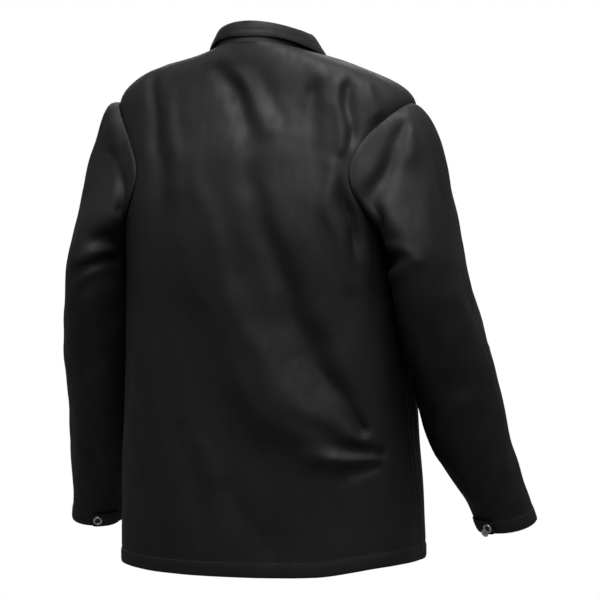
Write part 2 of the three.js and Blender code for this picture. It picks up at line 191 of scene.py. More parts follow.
def armhole_side(turn):
    wide = np.sin(turn) * (1 - ARM_EGG * np.cos(turn))
    return ARM_Y + wide * np.where(wide >= 0, ARM_BACK, ARM_FRONT), ARM_Z + ARM_HIGH * np.cos(turn)


def sleeve_section(index):
    centre = stack(*(along(SLEEVE, key, index) for key in "xyz"))
    ahead = stack(*(along(SLEEVE, key, index + 0.01) for key in "xyz"))
    before = stack(*(along(SLEEVE, key, index - 0.01) for key in "xyz"))
    down = unit(ahead - before)
    out = unit(np.array([1.0, 0, 0]) - down * down[..., :1])
    return centre, down, out, np.cross(out, down)


def tube_point(turn, index):
    centre, down, out, back = sleeve_section(index)
    cosine, sine = np.cos(turn)[..., None], np.sin(turn)[..., None]
    wide, deep, tip = (along(SLEEVE, key, index)[..., None] for key in ("out", "deep", "tip"))
    return centre + out * wide * cosine + back * deep * sine + down * tip * cosine


def sleeve_point(turn, v):
    turn, v = np.broadcast_arrays(np.asarray(turn, float), np.asarray(v, float))
    y, z = armhole_side(turn)
    angle, level = body_from_side(y, z)
    start = body_point(angle, level) + normal_of(body_point, angle, level) * 0.8
    zero = np.zeros_like(v)
    end = tube_point(turn, zero)
    span = np.linalg.norm(start - end, axis=-1, keepdims=True)
    inner = (1 - np.cos(turn)) / 2
    leave = unit(stack(1, 0, mix(-0.6, -1.2, inner))) * span * 0.9
    arrive = sleeve_section(zero)[1] * span * 0.7
    t = np.clip(v, 0, 1)[..., None]
    cap = (start * (2 * t ** 3 - 3 * t ** 2 + 1) + leave * (t ** 3 - 2 * t ** 2 + t)
           + end * (3 * t ** 2 - 2 * t ** 3) + arrive * (t ** 3 - t ** 2))
    return np.where(v[..., None] >= 1, tube_point(turn, np.maximum(v - 1, 0)), cap)


def stand_height(angle):
    return mix(STAND_FRONT, STAND_BACK, (1 + np.sin(angle)) / 2)


def neck_point(angle):
    base = body_point(angle, np.full_like(angle, float(NECK)))
    depth = np.where(base[..., 1] > 0, BODY["back"][NECK], BODY["front"][NECK])
    out = unit(stack(base[..., 0] / BODY["wide"][NECK] ** 2, base[..., 1] / depth ** 2, 0))
    return base, out


def stand_point(angle, v):
    base, out = neck_point(angle)
    rise = 0.4 + v * stand_height(angle)
    return base - out * (LEAN * v)[..., None] + stack(0, 0, rise)


def leaf_point(angle, v):
    base, out = neck_point(angle)
    high = stand_height(angle) + 0.4
    to_back = np.maximum(0, np.sin(angle))
    to_front = np.maximum(0, -np.sin(angle)) ** 2
    edge_angle = angle + math.radians(13) * to_front * np.sign(np.cos(angle))
    level = NECK - mix(0.28 * (1 - to_back), 2.3, to_front)
    edge = (body_point(edge_angle, level)
            + normal_of(body_point, edge_angle, level) * mix(3.0, 3.4, to_back)[..., None]
            + stack(0, 0, mix(-2, 7, to_back) * (1 - to_front)))

    def arch(outward, up):
        return base + out * outward + stack(0, 0, up)

    t = v[..., None]
    return (arch(-LEAN - 1.4, high + 2.8) * (1 - t) ** 3 + arch(-LEAN + 0.5, high + 6) * 3 * t * (1 - t) ** 2
            + arch(-LEAN + 5.5, high + 5) * 3 * t ** 2 * (1 - t) + edge * t ** 3)


# ---------- folds: (heights, widths, places) in millimetres, + stands out and - sinks in ----------
# On the back, a place is (distance to the wearer's left of the middle, height from the neck seam).
BACK_FOLDS = [
    # the long pull from the left shoulder blade to the right side: its swell, its crest and its valley
    ([2, 9, 13, 6], [28, 34, 35, 16], [(90, -240), (20, -400), (-50, -530), (-140, -590)]),
    ([1, 5, 7, 8, 3], [16, 22, 26, 23, 9], [(70, -160), (25, -290), (-30, -420), (-85, -515), (-180, -565)]),
    ([-3, -9, -15, -10], [14, 19, 22, 9], [(-20, -200), (-65, -320), (-110, -440), (-180, -550)]),
    # the short creases where it ends
    ([-2, -9, -8], [9, 8, 8], [(-130, -570), (-170, -578), (-195, -583)]),
    ([4, 8, 5], [14, 10, 8], [(-105, -595), (-155, -598), (-190, -590)]),
    ([-4, -6], [10, 9], [(-150, -620), (-185, -605)]),
    # below the neck
    ([-4, -8, -6, -2], [13, 19, 18, 19], [(35, -45), (5, -85), (-15, -145), (-20, -195)]),
    ([2, 3.5, 3], [10, 13, 16], [(0, -50), (-25, -90), (-45, -130)]),
    ([-1, -3, -2], [8, 10, 10], [(-20, -35), (-45, -75), (-60, -100)]),
    # the right shoulder blade
    ([-8, -9, -4], [17, 28, 34], [(-105, -75), (-105, -155), (-100, -230)]),
    ([3, 2], [10, 12], [(-120, -55), (-130, -90)]),
    # down beside the right armhole
    ([-8, -15, -16, -13], [8, 8, 8.5, 9], [(-150, -65), (-160, -110), (-165, -160), (-165, -195)]),
    ([3, 5, 3], [9, 9, 9], [(-140, -65), (-150, -110), (-150, -200)]),
    ([6, 7, 4], [12, 14, 12], [(-180, -70), (-190, -115), (-190, -150)]),
    ([-7, -13, -11, -4], [8, 8, 9, 11], [(-150, -175), (-160, -215), (-175, -290), (-195, -375)]),
    ([3, 5, 3], [10, 12, 12], [(-135, -185), (-140, -240), (-165, -350)]),
    # the left shoulder
    ([-4, -7, -5, -2], [9, 11, 16, 20], [(150, -50), (130, -130), (115, -210), (105, -270)]),
    ([3, 4, 3], [10, 14, 18], [(110, -85), (100, -145), (90, -210)]),
    # faint ones on the lower back
    ([-2, -3, -2], [16, 18, 18], [(80, -565), (65, -630), (55, -700)]),
    ([2, 3, 1], [14, 16, 16], [(40, -580), (35, -620), (30, -670)]),
    ([2, 3, 2], [20, 26, 20], [(150, -405), (145, -505), (150, -605)]),
    ([-2, -2], [18, 18], [(10, -645), (-40, -720)]),
]
# On a sleeve, a place is (turn in degrees from the outer side to the back, v down the sleeve).
RIGHT_SLEEVE_FOLDS = [
    ([-4, -9, -12, -11, -7], [6, 10, 12, 12, 10],
     [(40, 0.12), (65, 0.25), (85, 0.34), (105, 0.38), (125, 0.45)]),
    ([3, 5, 4], [10, 12, 12], [(30, 0.07), (40, 0.17), (50, 0.30)]),
    ([3, 6, 4], [10, 10, 11], [(150, 0.70), (120, 0.80), (90, 0.90)]),
    ([-5, -9, -5], [12, 14, 12], [(150, 0.95), (122, 0.95), (95, 1.0)]),
    ([5, 8, 5], [12, 12, 12], [(155, 1.6), (122, 1.35), (84, 1.2)]),
    ([-4, -6, -4], [14, 20, 18], [(135, 3.8), (95, 3.4), (60, 3.3)]),
    ([3, 4, 2], [16, 20, 18], [(30, 2.05), (27, 2.6), (25, 3.05)]),
    ([-3, -4, -3], [12, 14, 14], [(82, 2.3), (82, 2.75), (92, 3.15)]),
    ([-2, -3, -2], [14, 14, 14], [(120, 4.5), (100, 4.8), (75, 5.0)]),
]
LEFT_SLEEVE_FOLDS = [
    ([-3, -8, -9], [6, 8, 9], [(55, 0.20), (85, 0.20), (120, 0.20)]),
    ([4, 5], [11, 12], [(40, 0.10), (60, 0.12)]),
    ([-5, -8, -6], [11, 12, 12], [(105, 0.70), (120, 0.60), (135, 0.50)]),
    ([4, 6, 4], [10, 10, 10], [(85, 0.98), (110, 0.80), (140, 0.70)]),
    ([-5, -6, -4], [8, 8, 8], [(85, 1.2), (115, 1.0), (145, 0.95)]),
    ([4, 5, 3], [9, 10, 10], [(83, 1.7), (115, 1.3), (145, 1.2)]),
    ([-3, -4, -3], [14, 18, 16], [(95, 2.6), (90, 3.0), (78, 3.2)]),
    ([3, 3], [18, 20], [(65, 3.9), (65, 4.5)]),
    ([-2, -3], [14, 14], [(120, 4.4), (95, 4.8)]),
]
# The same on both sleeves.
ELBOW_FOLDS = [
    ([-4, -6, -3], [8, 9, 8], [(205, 2.9), (255, 3.05), (310, 2.95)]),
    ([3, 5, 3], [8, 9, 8], [(215, 3.25), (262, 3.4), (315, 3.3)]),
    ([-3, -5, -3], [8, 9, 9], [(200, 3.55), (258, 3.75), (320, 3.6)]),
    ([-3, -4, -2], [8, 9, 9], [(210, 2.3), (255, 2.45), (300, 2.3)]),
    ([-2, -3, -2], [9, 10, 8], [(165, 0.75), (205, 0.9), (250, 0.7)]),
    ([1, 2, 1], [8, 9, 8], [(170, 1.2), (210, 1.5), (255, 1.3)]),
    ([-3, -4], [9, 9], [(185, 4.6), (240, 4.9)]),
    ([-2, -3], [8, 8], [(230, 5.6), (290, 5.9)]),
]
# The same on both fronts. A place is a point of the left half, from the frame's origin.
FRONT_FOLDS = [
    ([-3, -6, -6, -3], [7, 10, 13, 16],
     [(150, -150, -110), (160, -168, -175), (158, -190, -240), (150, -208, -310)]),
    ([3, 5, 3], [12, 16, 20], [(120, -150, -130), (118, -178, -200), (110, -202, -290)]),
    ([-2, -4, -2], [12, 18, 20], [(70, -150, -100), (82, -178, -175), (88, -205, -260)]),
    ([3, 5, 5, 3], [18, 24, 26, 20],
     [(150, -215, -380), (130, -228, -470), (100, -240, -560), (80, -248, -650)]),
    ([-3, -5, -4], [16, 20, 20], [(172, -205, -430), (160, -218, -520), (140, -232, -620)]),
    ([-2, -3], [10, 12], [(30, -240, -380), (70, -236, -350)]),
    ([-2, -3], [10, 12], [(30, -248, -522), (72, -242, -490)]),
]


def back_point(x, z):
    """The point of the body's back that is seen from behind at (x, z)."""
    low, high = np.zeros_like(x), np.full_like(x, float(NECK))
    for _ in range(40):
        level = (low + high) / 2
        square = along(BODY, "square", level)
        share = np.minimum(1, np.abs(x) / along(BODY, "wide", level)) ** square
        height = mix(along(BODY, "side", level), along(BODY, "rear", level), 1 - share)
        low, high = np.where(height < z, level, low), np.where(height < z, high, level)
    y = along(BODY, "back", level) * (1 - share) ** (1 / square) - along(BODY, "ahead", level)
    return stack(x, y, z)


def laid(folds, surface, per_span=6):
    """Joins each fold's places by a smooth line and lays it on a surface, in frame millimetres."""
    result = []
    for heights, widths, places in folds:
        at = np.linspace(0, len(places) - 1, (len(places) - 1) * per_span + 1)
        columns = [along({"row": column}, "row", at) for column in zip(*places)]
        result.append((heights, widths, surface(*columns) - SEAT, at))
    return result


def settle(points):
    """Where the garment hangs away from its cut: the hem's right corner is wider and higher, the right
    shoulder lower and the left one higher."""
    hem = smooth(-110, -200, points[..., 0]) * smooth(-560, -740, points[..., 2])
    upper = smooth(-150, -85, points[..., 2])
    right = smooth(-110, -190, points[..., 0]) * upper
    left = smooth(70, 170, points[..., 0]) * upper
    lift = 9 * left - 5 * right
    return points + stack(-7 * hem, 0, 8 * hem + lift)


def fold_height(points, folds):
    """How far each point (frame mm) is moved along its normal by a list of laid folds."""
    total = np.zeros(len(points))
    warped = points + np.stack([Waves(s, 90)(points) for s in (31, 32, 33)], -1) * 3.0
    for heights, widths, line, at in folds:
        reach = 3 * max(widths)
        near = np.all((warped > line.min(0) - reach) & (warped < line.max(0) + reach), axis=1)
        if not near.any():
            continue
        some = warped[near]
        nearest = np.full(len(some), 1e9)
        place = np.zeros(len(some))
        for i in range(len(line) - 1):
            step = line[i + 1] - line[i]
            share = np.clip((some - line[i]) @ step / (step @ step), 0, 1)
            distance = np.linalg.norm(some - line[i] - share[:, None] * step, axis=1)
            closer = distance < nearest
            nearest[closer] = distance[closer]
            place[closer] = (at[i] + (at[i + 1] - at[i]) * share)[closer]
        knots = np.arange(len(heights))
        total[near] += np.interp(place, knots, heights) * bell(nearest, np.interp(place, knots, widths))
    return total


# ---------- meshes ----------
def link(name, vertices, faces, materials, face_materials=None, normals=None):
    mesh = bpy.data.meshes.new(name)
    mesh.from_pydata(np.asarray(vertices).tolist(), [], [list(f) for f in faces])
    mesh.update()
    mesh.polygons.foreach_set("use_smooth", np.ones(len(mesh.polygons), bool))
    for material in materials:
        mesh.materials.append(material)
    if face_materials is not None:
        mesh.polygons.foreach_set("material_index", np.asarray(face_materials, np.int32))
    if normals is not None:
        mesh.normals_split_custom_set_from_vertices(np.asarray(normals).tolist())
    thing = bpy.data.objects.new(name, mesh)
    scene.collection.objects.link(thing)
    return thing


def grid_normals(grid, side, ring):
    if ring:
        wide = np.concatenate([grid[-1:], grid, grid[:1]])
        du = (wide[2:] - wide[:-2])
    else:
        du = np.gradient(grid, axis=0)
    return unit(np.cross(du, np.gradient(grid, axis=1))) * side


def to_frame(points):
    return (points - SEAT) * MM


class Skin:
    """A sheet of leather on a grid of garment points, which becomes a closed mesh of even thickness."""

    def __init__(self, grid, side=1.0, ring=False):
        self.grid, self.side, self.ring = grid, side, ring
        self.normals = grid_normals(grid, side, ring)
        self.kept = None

    def push(self, height):
        self.grid = self.grid + self.normals * height[..., None]
        self.normals = grid_normals(self.grid, self.side, self.ring)

    def hang(self, flip=(1, 1, 1)):
        self.grid = settle(self.grid * flip) * flip
        self.normals = grid_normals(self.grid, self.side, self.ring)

    def quads(self):
        columns, rows = self.grid.shape[:2]
        i = np.arange(columns if self.ring else columns - 1)[:, None]
        j = np.arange(rows - 1)[None, :]
        after = (i + 1) % columns
        corners = np.stack(np.broadcast_arrays(i * rows + j, after * rows + j, after * rows + j + 1,
                                               i * rows + j + 1), -1).reshape(-1, 4)
        if self.side < 0:
            corners = corners[:, ::-1]
        return corners if self.kept is None else corners[self.kept(corners)]

    def build(self, name, outer, inner, thickness=LEATHER, mirror=False, rows=None, offset=0.0):
        """Makes the object. rows picks a span of rows, so two skins can meet exactly on a shared row."""
        grid, normals = self.grid, self.normals
        if rows is not None:
            grid, normals = grid[:, rows[0]:rows[1] + 1], normals[:, rows[0]:rows[1] + 1]
        part = Skin.__new__(Skin)
        part.grid, part.side, part.ring, part.kept = grid, self.side, self.ring, self.kept
        faces = part.quads()
        points, facing = grid.reshape(-1, 3), normals.reshape(-1, 3)
        used = np.unique(faces)
        index = np.full(len(points), -1)
        index[used] = np.arange(len(used))
        points, facing, faces = points[used], facing[used], index[faces]
        count = len(points)
        depth = np.broadcast_to(np.asarray(thickness, float), (count,))[:, None]
        vertices = np.concatenate([points + facing * offset, points + facing * (offset - depth)])
        edges = np.concatenate([faces[:, [k, (k + 1) % 4]] for k in range(4)])
        keys = np.sort(edges, axis=1) @ np.array([count, 1])
        _, first, how_many = np.unique(keys, return_index=True, return_counts=True)
        rim = edges[first[how_many == 1]]
        walls = np.stack([rim[:, 1], rim[:, 0], rim[:, 0] + count, rim[:, 1] + count], -1)
        every = np.concatenate([faces, faces[:, ::-1] + count, walls])
        kinds = np.concatenate([np.zeros(len(faces)), np.ones(len(faces)), np.zeros(len(walls))])
        shading = np.concatenate([facing, -facing])
        vertices = to_frame(vertices)
        if mirror:
            vertices = vertices * [-1, 1, 1]
            shading = shading * [-1, 1, 1]
            every = every[:, ::-1]
        return link(name, vertices, every, [outer, inner], kinds, shading)

    def at(self, i, j):
        """Points and normals at fractional grid places."""
        columns, rows = self.grid.shape[:2]
        i, j = np.broadcast_arrays(np.asarray(i, float), np.asarray(j, float))
        j0 = np.clip(np.floor(j).astype(int), 0, rows - 2)
        if self.ring:
            i0 = np.floor(i).astype(int)
            fi, i0, i1 = (i - i0)[..., None], i0 % columns, (i0 + 1) % columns
        else:
            i0 = np.clip(np.floor(i).astype(int), 0, columns - 2)
            fi, i1 = (i - i0)[..., None], i0 + 1
        fj = (j - j0)[..., None]

        def blend(table):
            return ((table[i0, j0] * (1 - fi) + table[i1, j0] * fi) * (1 - fj)
                    + (table[i0, j0 + 1] * (1 - fi) + table[i1, j0 + 1] * fi) * fj)

        return blend(self.grid), unit(blend(self.normals))


# A stitch is a three-sided prism with a pointed end at either side: vertex 0, rings 1-3 and 4-6, vertex 7.
STITCH_FACES = [(0, 2, 1), (0, 3, 2), (0, 1, 3), (1, 2, 5, 4), (2, 3, 6, 5), (3, 1, 4, 6),
                (7, 4, 5), (7, 5, 6), (7, 6, 4)]


def stitching(name, lines, material, pitch=3.6, length=2.7, radius=0.38, mirror=False):
    """A row of thread stitches along each line of (points, normals), in garment mm."""
    vertices, faces = [], []
    for points, normals in lines:
        steps = np.linalg.norm(np.diff(points, axis=0), axis=1)
        walked = np.concatenate([[0], np.cumsum(steps)])
        places = np.arange(pitch / 2, walked[-1], pitch)
        middle = stack(*(np.interp(places, walked, points[:, k]) for k in range(3)))
        ahead = stack(*(np.interp(places + 0.8, walked, points[:, k]) for k in range(3)))
        before = stack(*(np.interp(places - 0.8, walked, points[:, k]) for k in range(3)))
        up = unit(stack(*(np.interp(places, walked, normals[:, k]) for k in range(3))))
        run = unit(ahead - before)
        across = unit(np.cross(run, up))
        for m, u, r, a in zip(middle, up, run, across):
            base = len(vertices)
            tip, sink = r * length / 2, u * 0.25
            ring = [a * radius, u * radius * 1.3, -a * radius]
            vertices += [m - tip - sink, *(m + o - r * 0.6 for o in ring), *(m + o + r * 0.6 for o in ring),
                         m + tip - sink]
            faces += [tuple(base + k for k in face) for face in STITCH_FACES]
    vertices = to_frame(np.array(vertices))
    if mirror:
        vertices = vertices * [-1, 1, 1]
        faces = [f[::-1] for f in faces]
    return link(name, vertices, faces, [material])


def lathe(name, profile, seat, normal, material, sides=40, mirror=False, dark=0):
    """A solid of revolution: profile of (radius, height) in mm round the normal at seat, garment mm. Its
    first few bands can be dark."""
    normal = unit(np.asarray(normal, float))
    side = unit(np.cross(normal, [0.3, 0.2, 1.0]))
    other = np.cross(normal, side)
    turns = np.linspace(0, 2 * np.pi, sides, endpoint=False)
    vertices, faces, kinds = [], [], []
    for radius, height in profile:
        for t in turns:
            vertices.append(seat + normal * height + (side * math.cos(t) + other * math.sin(t)) * radius)
    count = len(profile)
    for k in range(count):
        after = (k + 1) % count
        for s in range(sides):
            e = (s + 1) % sides
            faces.append((k * sides + s, k * sides + e, after * sides + e, after * sides + s))
            kinds.append(1 if k < dark else 0)
    vertices = to_frame(np.array(vertices))
    if mirror:
        vertices = vertices * [-1, 1, 1]
        faces = [f[::-1] for f in faces]
    return link(name, vertices, faces, [material, PLUG] if dark else [material], kinds)


# ---------- materials ----------
def new_material(name):
    material = bpy.data.materials.new(name)
    material.use_nodes = True
    nodes, links = material.node_tree.nodes, material.node_tree.links
    return material, nodes, links, nodes["Principled BSDF"]


def noise_node(nodes, links, coordinates, scale, detail=3.0, stretch=(1, 1, 1)):
    mapping = nodes.new("ShaderNodeMapping")
    mapping.inputs["Scale"].default_value = stretch
    links.new(coordinates.outputs["Object"], mapping.inputs["Vector"])
    noise = nodes.new("ShaderNodeTexNoise")
    noise.inputs["Scale"].default_value = scale
    noise.inputs["Detail"].default_value = detail
    links.new(mapping.outputs["Vector"], noise.inputs["Vector"])
    return noise


def ramp_node(nodes, links, source, stops):
    ramp = nodes.new("ShaderNodeValToRGB")
    elements = ramp.color_ramp.elements
    elements[0].position, elements[0].color = stops[0][0], (*stops[0][1], 1)
    elements[1].position, elements[1].color = stops[-1][0], (*stops[-1][1], 1)
    for position, color in stops[1:-1]:
        elements.new(position).color = (*color, 1)
    links.new(source, ramp.inputs["Fac"])
    return ramp


def bump_chain(nodes, links, shader, layers):
    """layers: (height socket, distance in metres, strength)."""
    before = None
    for height, distance, strength in layers:
        bump = nodes.new("ShaderNodeBump")
        bump.inputs["Distance"].default_value = distance
        bump.inputs["Strength"].default_value = strength
        links.new(height, bump.inputs["Height"])
        if before is not None:
            links.new(before.outputs["Normal"], bump.inputs["Normal"])
        before = bump
    links.new(before.outputs["Normal"], shader.inputs["Normal"])


def leather(name, dark, light, rough_low, rough_high, grain=1.0, sheen=0.0, specular=0.5):
    material, nodes, links, shader = new_material(name)
    coordinates = nodes.new("ShaderNodeTexCoord")
    cells = nodes.new("ShaderNodeTexVoronoi")
    cells.inputs["Scale"].default_value = 620.0
    links.new(coordinates.outputs["Object"], cells.inputs["Vector"])
    fine = noise_node(nodes, links, coordinates, 900.0, 4.0)
    creases = noise_node(nodes, links, coordinates, 75.0, 6.0, (1, 1, 0.45))
    patches = noise_node(nodes, links, coordinates, 9.0, 4.0)
    scuffs = noise_node(nodes, links, coordinates, 38.0, 7.0, (1.6, 1.6, 0.5))
    colour = ramp_node(nodes, links, patches.outputs["Fac"], [(0.3, dark), (0.75, light)])
    links.new(colour.outputs["Color"], shader.inputs["Base Color"])
    spread = nodes.new("ShaderNodeMapRange")
    spread.inputs["From Min"].default_value = 0.3
    spread.inputs["From Max"].default_value = 0.7
    spread.inputs["To Min"].default_value = rough_low
    spread.inputs["To Max"].default_value = rough_high
    links.new(scuffs.outputs["Fac"], spread.inputs["Value"])
    links.new(spread.outputs["Result"], shader.inputs["Roughness"])
    shader.inputs["Specular IOR Level"].default_value = specular
    shader.inputs["Sheen Weight"].default_value = sheen
    shader.inputs["Sheen Roughness"].default_value = 0.5
    bump_chain(nodes, links, shader, [
        (creases.outputs["Fac"], 0.0012, 0.30 * grain),
        (cells.outputs["Distance"], 0.0003, 0.35 * grain),
        (fine.outputs["Fac"], 0.0002, 0.25 * grain),
    ])
    return material


def woven(name, dark, light):
    material, nodes, links, shader = new_material(name)
    coordinates = nodes.new("ShaderNodeTexCoord")
    warp = nodes.new("ShaderNodeTexWave")
    warp.inputs["Scale"].default_value = 420.0
    warp.inputs["Distortion"].default_value = 0.6
    links.new(coordinates.outputs["Object"], warp.inputs["Vector"])
    weft = nodes.new("ShaderNodeTexWave")
    weft.bands_direction = "Z"
    weft.inputs["Scale"].default_value = 420.0
    links.new(coordinates.outputs["Object"], weft.inputs["Vector"])
    cross = nodes.new("ShaderNodeMath")
    cross.operation = "MULTIPLY"
    links.new(warp.outputs["Fac"], cross.inputs[0])
    links.new(weft.outputs["Fac"], cross.inputs[1])
    colour = ramp_node(nodes, links, cross.outputs["Value"], [(0.1, dark), (0.9, light)])
    links.new(colour.outputs["Color"], shader.inputs["Base Color"])
    shader.inputs["Roughness"].default_value = 0.85
    shader.inputs["Sheen Weight"].default_value = 0.3
    bump_chain(nodes, links, shader, [(cross.outputs["Value"], 0.0003, 0.6)])
    return material


def metal(name):
    material, nodes, links, shader = new_material(name)
    coordinates = nodes.new("ShaderNodeTexCoord")
    scratches = noise_node(nodes, links, coordinates, 700.0, 5.0, (1, 6, 1))
    tarnish = noise_node(nodes, links, coordinates, 160.0, 3.0)
    colour = ramp_node(nodes, links, tarnish.outputs["Fac"],
                       [(0.3, (0.50, 0.49, 0.47)), (0.7, (0.72, 0.71, 0.69))])
    links.new(colour.outputs["Color"], shader.inputs["Base Color"])
    shader.inputs["Metallic"].default_value = 1.0
    spread = nodes.new("ShaderNodeMapRange")
    spread.inputs["To Min"].default_value = 0.16
    spread.inputs["To Max"].default_value = 0.42
    links.new(scratches.outputs["Fac"], spread.inputs["Value"])
    links.new(spread.outputs["Result"], shader.inputs["Roughness"])
    bump_chain(nodes, links, shader, [(scratches.outputs["Fac"], 0.00008, 0.35)])
    return material


BLACK = leather("black_leather", (0.0042, 0.0042, 0.0045), (0.0075, 0.0075, 0.0078), 0.60, 0.75,
                specular=0.36)
SUEDE = leather("flesh_side", (0.030, 0.028, 0.026), (0.052, 0.048, 0.045), 0.85, 0.95, grain=1.4,
                sheen=0.25, specular=0.2)
TAPE = woven("black_tape", (0.008, 0.008, 0.008), (0.03, 0.03, 0.031))
THREAD = woven("black_thread", (0.006, 0.006, 0.006), (0.015, 0.015, 0.015))
NICKEL = metal("nickel")

PLUG = leather("blackened_plug", (0.01, 0.01, 0.01), (0.02, 0.02, 0.02), 0.35, 0.5, grain=0.4)

# A ring cap with a sunk, blackened middle, in millimetres of radius and height above the leather.
SNAP_CAP = [(0.01, 0.9), (1.8, 0.95), (3.0, 0.75), (3.6, 0.7), (4.0, 1.3), (4.7, 1.9), (5.5, 2.1), (6.3, 1.9),
            (6.9, 1.3), (7.1, 0.6), (7.0, 0.1), (0.01, 0.05)]


def declare(thing, nodes=(), body=None, blend=None):
    """Parents the piece to a body's empty, or, when a blend is given, bakes its transform into the mesh;
    hides the CAD nodes that it stands for.
    """
    if blend is not None:
        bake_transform(thing)
    else:
        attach(thing, body)
    if nodes:
        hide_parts(*nodes)


# ---------- body skins ----------
CELL = 5.0
SOFT = Waves(3, 170, 2.2)
RIPPLE = Waves(5, 55, 2.5)
TINY = Waves(6, 22, 1.6)


def even_levels(cell=CELL):
    fine = np.linspace(0, NECK, 1800)
    line = body_point(np.full_like(fine, HALF), fine)
    walked = np.concatenate([[0], np.cumsum(np.linalg.norm(np.diff(line, axis=0), axis=1))])
    edge = np.array([0, 1.2, 3.0])
    inside = np.linspace(7.0, walked[-1] - 3, int(walked[-1] / cell))
    places = np.concatenate([edge, inside, [walked[-1]]])
    return np.interp(places, walked, fine), places


def even_angles(first, last, cell=CELL):
    fine = np.linspace(first, last, 1600)
    line = body_point(fine, np.full_like(fine, 2.0))
    walked = np.concatenate([[0], np.cumsum(np.linalg.norm(np.diff(line, axis=0), axis=1))])
    total = walked[-1]
    inside = np.linspace(6.0, total - 6.0, int(total / cell))
    places = np.concatenate([[0, 1.2, 3.0], inside, [total - 3.0, total - 1.2, total]])
    return np.interp(places, walked, fine), places


ARM_TURNS = np.linspace(0, 2 * np.pi, 400, endpoint=False)
ARM_CURVE = np.stack(armhole_side(ARM_TURNS), -1)


def armhole_distance(points):
    """Distance in the side view to the armhole's line (negative inside it), for garment points."""
    flat = points[..., 1:3].reshape(-1, 2)
    nearest = np.full(len(flat), 1e9)
    for chunk in np.array_split(ARM_CURVE, 20):
        d = np.linalg.norm(flat[:, None] - chunk[None], axis=2).min(1)
        nearest = np.minimum(nearest, d)
    high = (flat[:, 1] - ARM_Z) / ARM_HIGH
    cosine = np.clip(high, -1, 1)
    reach = np.sqrt(1 - cosine ** 2) * (1 - ARM_EGG * cosine)
    offset = flat[:, 0] - ARM_Y
    inside = (np.abs(high) < 1) & (offset < reach * ARM_BACK) & (offset > -reach * ARM_FRONT)
    return np.where(inside, -nearest, nearest).reshape(points.shape[:2])


def cut_armholes(skin):
    """Drops the faces inside the armholes and pulls the edge onto the armhole's line."""
    distance = armhole_distance(skin.grid)
    outside = distance > 0
    corners = skin.quads()
    flat_out = outside.reshape(-1)
    keep = flat_out[corners].any(axis=1)
    edge = np.unique(corners[keep])
    move = edge[~flat_out[edge]]
    grid = skin.grid.reshape(-1, 3)
    for k in move:
        y, z = grid[k, 1:3]
        nearest = ARM_CURVE[np.argmin(((ARM_CURVE - [y, z]) ** 2).sum(1))]
        angle, level = body_from_side(np.array([nearest[0]]), np.array([nearest[1]]))
        if grid[k, 0] < 0:
            angle = np.pi - angle
        grid[k] = body_point(angle, level)[0]
    skin.grid = grid.reshape(skin.grid.shape)
    skin.normals = grid_normals(skin.grid, skin.side, skin.ring)
    skin.kept = lambda faces: flat_out[faces].any(axis=1)
    return np.maximum(distance, 0)


def finish_edges(skin, height):
    """Adds the turned hem and the roll into the neck seam to a body skin's relief."""
    above = level_places[None, :]
    height += 0.9 * smooth(26, 18, above) - 0.9 * bell(above - 22, 1.8) - 0.9 * bell(above, 1.5)
    height -= 0.3 * bell(level_places[-1] - level_places, 2.5)[None, :]
    skin.push(height)


def dress_body(angles, along_edge, level_places, levels):
    skin = Skin(body_point(angles[:, None], levels[None, :]))
    reach = cut_armholes(skin)
    points = skin.grid - SEAT
    calm = smooth(0, 40, reach)
    height = (SOFT(points) * 1.5 + RIPPLE(points) * 0.35 + TINY(points) * 0.10) * calm
    to_seam = np.minimum(along_edge, along_edge[-1] - along_edge)[:, None]
    near_neck = smooth(0, 30, level_places[-1] - level_places)[None, :]
    height = height * near_neck * smooth(0, 45, to_seam)
    folds = fold_height(points.reshape(-1, 3), laid(BACK_FOLDS, back_point)).reshape(height.shape)
    height += folds * smooth(0, 14, reach) * near_neck * smooth(0, 14, to_seam)
    # the seam allowance round the armhole, and the roll of leather into the seam
    height -= 0.5 * bell(reach, 2.0)
    # the side seam: the edge sinks in, with a lapped allowance beside it
    for distance in (along_edge[:, None], along_edge[-1] - along_edge[:, None]):
        height += -1.3 * bell(distance, 1.6) + 0.8 * bell(distance - 8, 5)
    finish_edges(skin, height)
    skin.hang()
    return skin


levels, level_places = even_levels()
hem_row = np.interp(20.0, level_places, np.arange(len(levels)))
hem_row_low = np.interp(4.0, level_places, np.arange(len(levels)))

angles, angle_places = even_angles(-0.012, math.pi + 0.012)
back = dress_body(angles, angle_places, level_places, levels)
thing = back.build("back_skin", BLACK, SUEDE)
declare(thing, ["back_panel"], body="body")


def row_line(skin, row, first, last, count=600):
    i = np.linspace(first, last, count)
    return skin.at(i, np.full_like(i, row))


def column_line(skin, column, first, last, count=600):
    j = np.linspace(first, last, count)
    return skin.at(np.full_like(j, column), j)


def column_at(places, distance):
    return np.interp(distance, places, np.arange(len(places)))


last_column = len(angles) - 1
underarm_level = np.interp(-290, BODY["rear"][:4], range(4))
low_arm = np.interp(underarm_level, levels, np.arange(len(levels)))
side_column = column_at(angle_places, 8.0)
declare(stitching("back_stitching", [
    row_line(back, hem_row, 0.5, last_column - 0.5, 900),
    column_line(back, side_column, 2, low_arm),
    column_line(back, last_column - side_column, 2, low_arm),
], THREAD), body="body")

# ---------- front skins ----------
FRONT_BLEND = {
    "left": ("body", "left_front", (0.115, -0.24, -0.76), (0.0672, -0.24, -0.7708)),
    "right": ("body", "right_front", (-0.115, -0.24, -0.76), (-0.0672, -0.24, -0.7708)),
}


